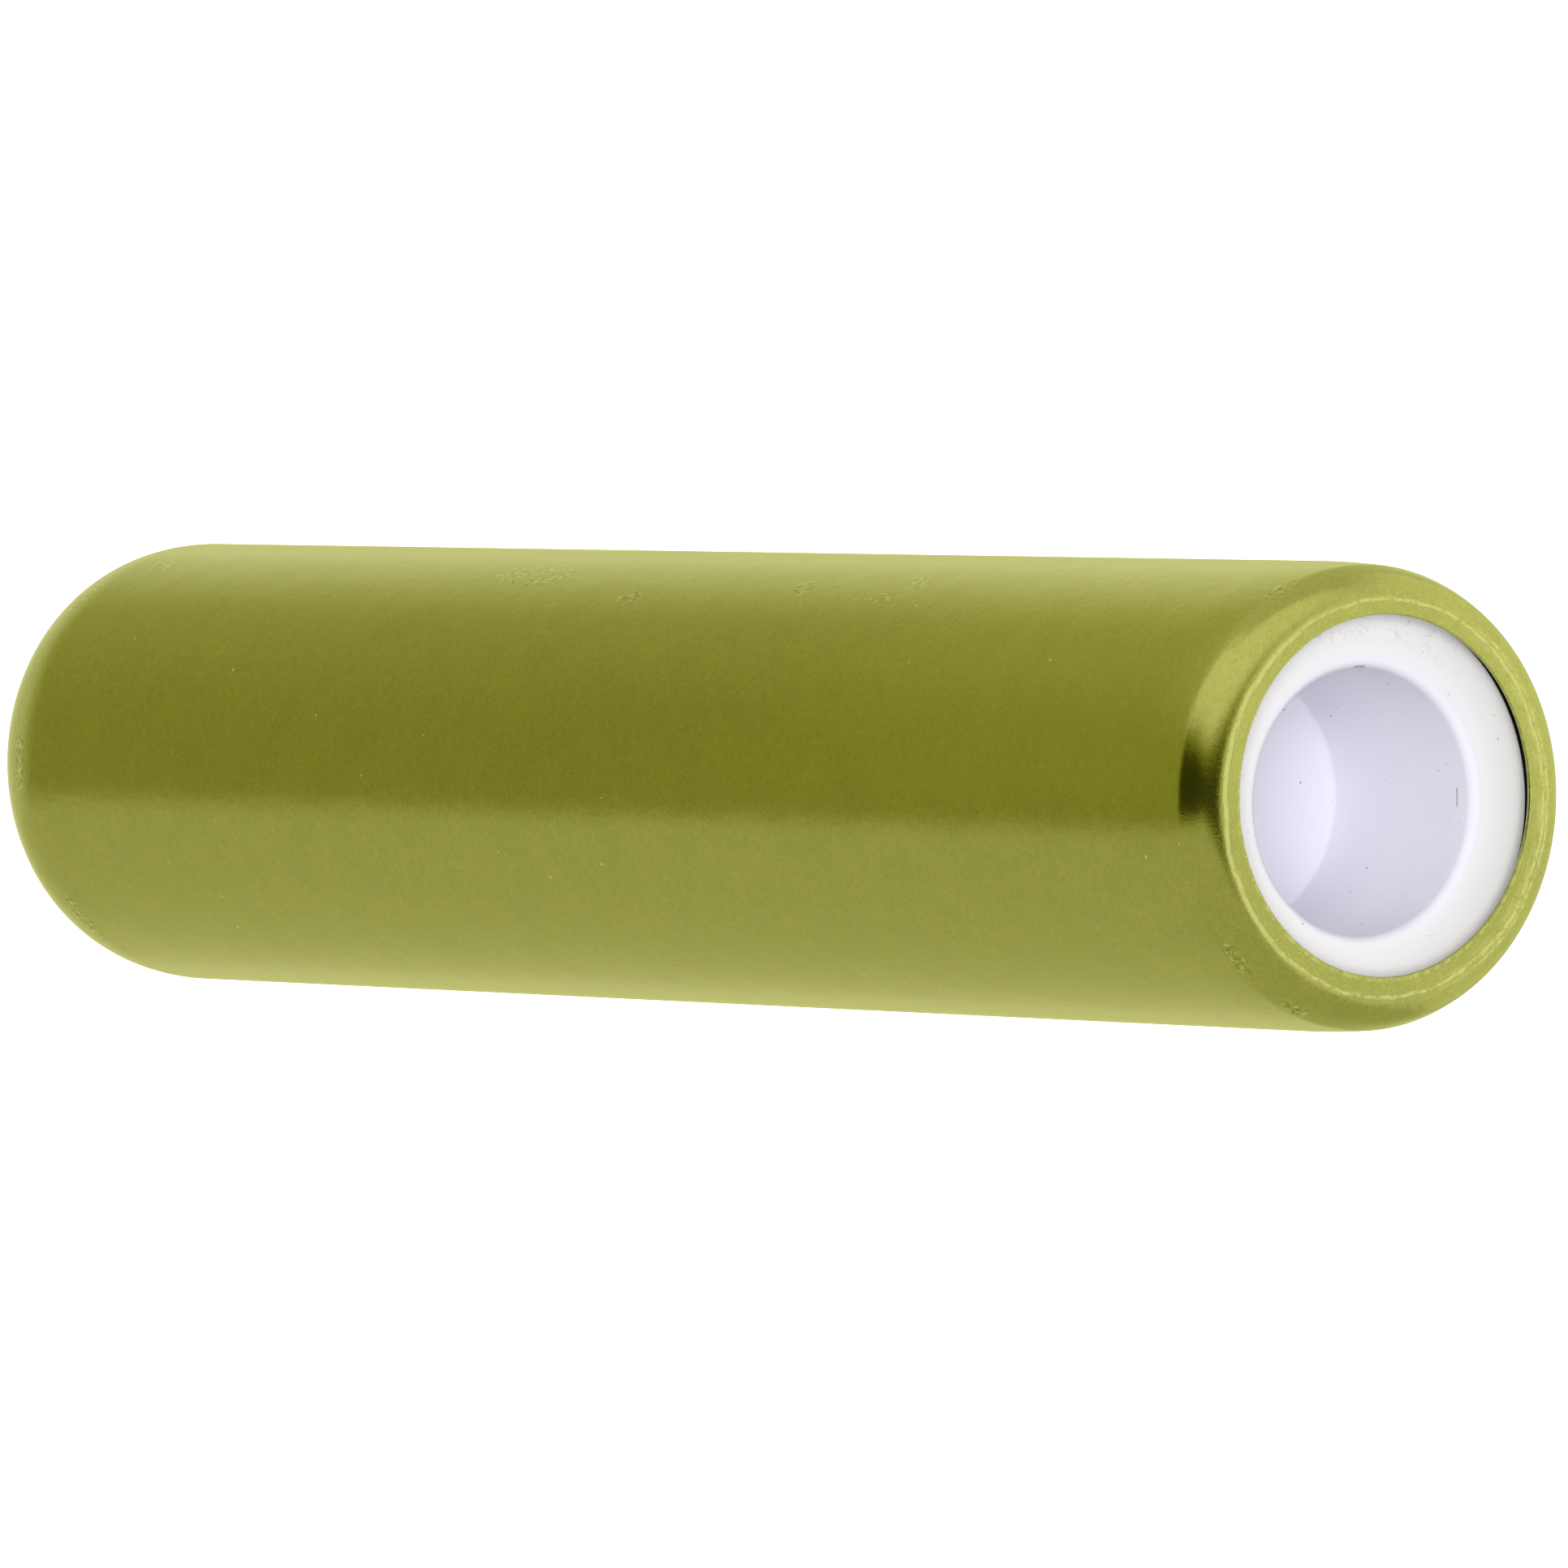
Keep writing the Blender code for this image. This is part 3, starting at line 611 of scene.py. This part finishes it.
def turned(name, outline, material, shift=(0.0, 0.0)):
    """Turn an outline of (radius, height) points in millimetres into a smooth closed piece."""
    if outline[0][0] > 0:
        outline = outline + outline[:1]
    source = bpy.data.meshes.new(name + "_outline")
    source.from_pydata([(r * MM, 0.0, z * MM) for r, z in outline], [], [])
    piece = bake_nodes(name, source, turning, Outline_Points=len(outline), Flats=FLATS, Finish=material)
    piece.data.transform(Matrix.Translation((shift[0] * MM, shift[1] * MM, 0.0)))
    return piece


def arc(centre_r, centre_z, radius, start, end, steps=16):
    points = []
    for step in range(steps + 1):
        turn = math.radians(start + (end - start) * step / steps)
        points.append((centre_r + radius * math.cos(turn), centre_z + radius * math.sin(turn)))
    return points


def eased(share):
    """A share held between 0 and 1, with soft ends."""
    share = min(max(share, 0.0), 1.0)
    return share * share * (3 - 2 * share)


def draw_in(points, amount):
    """Draw the can's top in toward the axis, easing off down the wall and round the corner to the lip."""
    moved = []
    for r, z in points:
        away = cell_height - z
        share = max(0.0, 1.0 - away / TAPER_LENGTH) ** 2
        tilt = math.degrees(math.asin(min(1.0, max(0.0, (SHOULDER - away) / SHOULDER))))
        moved.append((r - amount * share * (1.0 - eased((tilt - 15.0) / 45.0)), z))
    return moved


def shift_middle(piece, amount, low, high, floor):
    """Slide what is above the floor sideways: all of it inside the low radius, none outside the high one."""
    for vertex in piece.data.vertices:
        if vertex.co.z < floor * MM:
            continue
        share = eased((high - math.hypot(vertex.co.x, vertex.co.y) / MM) / (high - low))
        vertex.co.x += amount[0] * MM * share
        vertex.co.y += amount[1] * MM * share


def make_can(material):
    """The drawn can: closed base, straight wall, rolled shoulder and thin flat lip."""
    r, h = cell_radius, cell_height
    inside = r - CAN_WALL
    base_inside = BASE_CORNER - CAN_BASE
    outline = [(0.0, 0.0), (1.5, 0.0), (3.0, 0.0), (4.5, 0.0)]
    for step in range(BASE_STEPS + 1):
        turn = math.radians(90.0 * (step / BASE_STEPS) ** 0.8)
        outline.append((r - BASE_DRAW + BASE_DRAW * math.sin(turn), BASE_RISE - BASE_RISE * math.cos(turn)))
    straight = h - BASE_RISE - TAPER_LENGTH
    outline += [(r, BASE_RISE + straight * step / WALL_STEPS) for step in range(1, WALL_STEPS)]
    tapered = TAPER_LENGTH - SHOULDER
    top = [(r, h - TAPER_LENGTH + tapered * step / TOP_STEPS) for step in range(TOP_STEPS)]
    top += arc(r - SHOULDER, h - SHOULDER, SHOULDER, 0, 90, 28)
    outline += draw_in(top, SHOULDER_TAPER)
    outline += [(5.6, h), (5.45, h)]
    outline += arc(LIP_INNER + LIP_ROUND, h - LIP_ROUND, LIP_ROUND, 90, 180, 4)
    outline += arc(LIP_INNER + LIP_ROUND, h - LIP_EDGE + LIP_ROUND, LIP_ROUND, 180, 270, 4)
    under = arc(r - SHOULDER, h - SHOULDER, SHOULDER - CAN_WALL, 90, 0)
    under += [(inside, h - TAPER_LENGTH + tapered * step / 8) for step in range(7, -1, -1)]
    outline += draw_in(under, 0.4 * SHOULDER_TAPER)
    outline += [(inside, BASE_CORNER + 0.6)]
    outline += arc(inside - base_inside, CAN_BASE + base_inside, base_inside, 0, -90)
    outline += [(3.0, CAN_BASE), (0.0, CAN_BASE)]
    can = turned("olive_can", outline, material)
    shift_middle(can, LIP_SHIFT, 5.4, 5.85, h - 0.5)
    return can


def make_cup(material):
    """The moulded cup with its blind bore, mouth and outer edge rounded."""
    flange_top = face_z - BOSS_HEIGHT
    flange = flange_top - FLANGE_THICKNESS
    floor = face_z - BORE_DEPTH
    skirt = BORE_RADIUS + CUP_WALL
    rim = flange_radius - CUP_SHIFT
    outline = [(SHANK_HOLE, cup_bottom), (skirt - SKIRT_ROUND, cup_bottom)]
    outline += arc(skirt - SKIRT_ROUND, cup_bottom + SKIRT_ROUND, SKIRT_ROUND, -90, 0, 6)
    outline += [(skirt, flange), (rim, flange), (rim, flange_top), (BOSS_RADIUS, flange_top)]
    outline += arc(BOSS_RADIUS - BOSS_ROUND, face_z - BOSS_ROUND, BOSS_ROUND, 0, 90, 6)
    outline += [(5.4, face_z), (4.9, face_z)]
    outline += arc(BORE_RADIUS + CUP_EDGE, face_z - CUP_EDGE, CUP_EDGE, 90, 180, 12)
    outline += [(BORE_RADIUS, face_z - BORE_DEPTH * step / 8) for step in range(1, 8)]
    outline += arc(BORE_RADIUS - BORE_ROUND, floor + BORE_ROUND, BORE_ROUND, 0, -90, 6)
    outline += [(2.5, floor), (SHANK_HOLE, floor)]
    cup = turned("white_cup", outline, material, (CUP_SHIFT, 0.0))
    shift_middle(cup, (0.0, BORE_SHIFT), 4.6, 5.3, floor - 0.2)
    return cup


def make_seal(material):
    """The black rubber ring between the cup and the rolled shoulder."""
    inner = BOSS_RADIUS + CUP_SHIFT + SEAL_CLEARANCE
    centre, radius = cell_radius - SHOULDER, SHOULDER - CAN_WALL - SEAL_SEAT
    end = math.degrees(math.acos((inner - centre) / radius))
    outline = [(inner, seal_bottom), (seal_radius, seal_bottom)]
    outline += arc(centre, cell_height - SHOULDER, radius, 0, end)
    return turned("black_seal", outline, material)


def make_contact(material):
    """The contact stud in the floor of the bore: clinched foot, shank, and a rounded head with a dimple."""
    head = stud_radius - STUD_TRIM
    seat = face_z - BORE_DEPTH + STUD_SEAT
    foot_centre = STUD_FOOT - STUD_FOOT_ROUND
    outline = [(0.0, stud_bottom), (foot_centre, stud_bottom)]
    outline += arc(foot_centre, stud_bottom + STUD_FOOT_ROUND, STUD_FOOT_ROUND, -90, 0, 5)
    outline += [(STUD_FOOT, stud_bottom + STUD_FOOT_HEIGHT), (STUD_SHANK, stud_bottom + STUD_FOOT_HEIGHT)]
    outline += [(STUD_SHANK, seat), (head, seat)]
    outline += arc(head - STUD_ROUND, stud_top - STUD_ROUND, STUD_ROUND, 0, 90, 6)
    outline += [(0.45, stud_top), (DIMPLE_RADIUS, stud_top - DIMPLE_DEPTH), (0.0, stud_top - DIMPLE_DEPTH)]
    return turned("contact_stud", outline, material, (CUP_SHIFT, BORE_SHIFT + STUD_SHIFT))


# ---------------------------------------------------------------- camera

VIEW_ANGLE = 35.40       # between the line of sight and the cell's axis, in degrees
VIEW_TIP = 1.06          # how far the axis tips down across the picture, in degrees
VIEW_DISTANCE = 607.3
FOCAL_LENGTH = 450.78    # for a frame 36 mm wide
CENTRE_ACROSS = -1.040
CENTRE_DOWN = -0.178


def view_axes():
    """Right, down and forward of the camera in the cell's own frame."""
    angle, tip = math.radians(VIEW_ANGLE), math.radians(VIEW_TIP)
    forward_z = -math.cos(angle) * math.cos(tip)
    forward_y = math.sqrt(1 - forward_z ** 2)
    down_y = -math.sin(tip) * forward_z / forward_y
    down = Vector((math.sqrt(1 - down_y ** 2 - math.sin(tip) ** 2), down_y, math.sin(tip)))
    forward = Vector((0.0, forward_y, forward_z))
    return down.cross(forward), down, forward


def add_camera():
    right, down, forward = view_axes()
    data = bpy.data.cameras.new("camera")
    data.sensor_width = 36.0
    data.lens = FOCAL_LENGTH
    data.clip_start, data.clip_end = 0.01, 10.0
    camera = bpy.data.objects.new("camera", data)
    bpy.context.scene.collection.objects.link(camera)
    centre = Vector((0.0, 0.0, cell_height / 2 * MM))
    place = centre - (right * CENTRE_ACROSS + down * CENTRE_DOWN + forward * VIEW_DISTANCE) * MM
    turn = Matrix((right, -down, -forward)).transposed()
    camera.matrix_world = Matrix.Translation(place) @ turn.to_4x4()
    bpy.context.scene.camera = camera


# ---------------------------------------------------------------- studio

# Brightness of what stands round the cell
NEAR_WALL = 0.60
BELOW_LENS = 1.10
ROOM = 0.97
LOWER_CORNER = 1.0
SOFT_PANEL = 1.5
DARK_STAND = 0.07
OVERHEAD = 1.33
FAR_WALL = 1.5
LENS_SHADE = 0.74        # what the camera itself leaves of the light behind it
FOR_MATT = 0.39          # the even light that matt surfaces get

FLOOR_REACH = 1.2        # metres
FLOOR_HEIGHT = -0.0002
FILL_PLACE = (-0.01, -0.228, 0.40)
FILL_AIM = (0.0, 0.0, 0.06)
FILL_SIZE = 0.26
FILL_ENERGY = 1.34


def add_floor():
    """A plain pale floor, seen but not reflected, so that the studio's own light shapes the metal."""
    material, _, shader = new_material("pale_floor", (1.0, 1.0, 1.0), 0.9)
    shader.inputs["Emission Color"].default_value = (1.0, 1.0, 1.0, 1.0)
    shader.inputs["Emission Strength"].default_value = 1.0
    mesh = bpy.data.meshes.new("pale_floor")
    sides = ((-1, -1), (1, -1), (1, 1), (-1, 1))
    mesh.from_pydata([(x * FLOOR_REACH, y * FLOOR_REACH, FLOOR_HEIGHT) for x, y in sides], [], [(0, 1, 2, 3)])
    mesh.materials.append(material)
    floor = bpy.data.objects.new("pale_floor", mesh)
    bpy.context.scene.collection.objects.link(floor)
    for kind in ("glossy", "diffuse", "shadow", "transmission"):
        setattr(floor, "visible_" + kind, False)


def room_level(tree, way):
    """Brightness of the studio in each direction: white room, bright soft panel, dim side, dark stand."""
    x, y, z = split(tree, way)
    behind = add(tree, product(tree, y, 0.577), product(tree, z, -0.817))
    across = add(tree, product(tree, x, -1.0), product(tree, z, 0.15))
    rise = add(tree, product(tree, z, 0.8), product(tree, y, -1.0))
    overhead = add(tree, product(tree, y, 0.577), product(tree, z, 0.817))

    first_step = product(tree, smooth(tree, behind, 0.33, 0.6), 0.12)
    second_step = product(tree, smooth(tree, behind, 0.60, 0.87), 0.33)
    level = add(tree, NEAR_WALL, first_step, second_step)
    level = mix_number(tree, smooth(tree, product(tree, z, -1.0), 0.865, 0.96), level, BELOW_LENS)
    level = mix_number(tree, smooth(tree, z, -0.6, -0.3), level, ROOM)
    corner = product(tree, smooth(tree, z, -0.81, -0.66), smooth(tree, across, 0.15, 0.45))
    level = mix_number(tree, corner, level, LOWER_CORNER)
    panel = product(tree, smooth(tree, across, 0.2, 0.66), smooth(tree, rise, 0.02, 0.30))
    level = mix_number(tree, panel, level, SOFT_PANEL)
    stand = product(tree, rest_of(tree, smooth(tree, across, 0.18, 0.52)), smooth(tree, rise, 0.22, 0.72))
    level = mix_number(tree, stand, level, DARK_STAND)
    table = math_node(tree, "MULTIPLY_ADD", smooth(tree, z, 0.0, 0.8), 0.05, x)
    level = mix_number(tree, smooth(tree, table, 0.13, 0.27), level, ROOM)

    beside = math_node(tree, "MULTIPLY_ADD", smooth(tree, y, 0.5, 0.9), -0.5, x)
    clear = rest_of(tree, smooth(tree, beside, 0.10, 0.32))
    level = mix_number(tree, product(tree, smooth(tree, overhead, 0.945, 0.995), clear), level, OVERHEAD)
    far = product(tree, smooth(tree, y, 0.35, 0.7), smooth(tree, z, -0.55, -0.05))
    level = mix_number(tree, product(tree, far, clear), level, FAR_WALL)
    return product(tree, level, mix_number(tree, smooth(tree, behind, 0.93, 1.0), 1.0, LENS_SHADE))


def add_studio():
    """White surroundings whose reflections warm where they are dim; what the camera sees is plain white."""
    world = bpy.data.worlds.new("studio")
    world.use_nodes = True
    bpy.context.scene.world = world
    tree = world.node_tree
    sky = tree.nodes["Background"]
    level = room_level(tree, tree.nodes.new("ShaderNodeTexCoord").outputs["Generated"])

    blue = tree.nodes.new("ShaderNodeMapRange")
    put(tree, blue.inputs["Value"], level)
    for socket, value in (("From Min", 0.30), ("From Max", 1.15), ("To Min", 0.0), ("To Max", 0.68)):
        blue.inputs[socket].default_value = value
    tone = tree.nodes.new("ShaderNodeCombineColor")
    tone.inputs[0].default_value = 1.0
    tone.inputs[1].default_value = 1.0
    put(tree, tone.inputs[2], blue.outputs[0])

    path = tree.nodes.new("ShaderNodeLightPath").outputs
    strength = mix_number(tree, path["Is Diffuse Ray"], level, FOR_MATT)
    put(tree, sky.inputs["Strength"], mix_number(tree, path["Is Camera Ray"], strength, 1.0))
    put(tree, sky.inputs["Color"], mix_colour(tree, path["Is Glossy Ray"], (1.0, 1.0, 1.0), tone.outputs[0]))
    bpy.context.scene.view_settings.view_transform = "Standard"


def add_fill():
    """A soft light over the open end that fills the bore."""
    data = bpy.data.lights.new("fill", "AREA")
    data.size = FILL_SIZE
    data.energy = FILL_ENERGY
    light = bpy.data.objects.new("fill", data)
    bpy.context.scene.collection.objects.link(light)
    light.location = FILL_PLACE
    light.rotation_euler = (Vector(FILL_AIM) - light.location).to_track_quat("-Z", "Y").to_euler()
    light.visible_glossy = False
    light.visible_camera = False


# ---------------------------------------------------------------- build

for old in [o for o in bpy.data.objects if o.type in ("CAMERA", "LIGHT") or o.name == "Cube"]:
    bpy.data.objects.remove(old)

for node, finish in FINISHES.items():
    mesh = frame["nodes"][node].data
    mesh.materials.clear()
    mesh.materials.append(finish)

turning = turning_tree()
for piece, node, slot in (
    (make_can(olive_coating()), "can", "coated_steel"),
    (make_cup(white_moulding()), "insulating_cup", "white_plastic"),
    (make_seal(rubber), "seal_ring", "black_rubber"),
    (make_contact(nickel), "positive_contact", "nickel"),
):
    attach(piece, "cell_body")
    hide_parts(node)

add_camera()
add_floor()
add_studio()
add_fill()
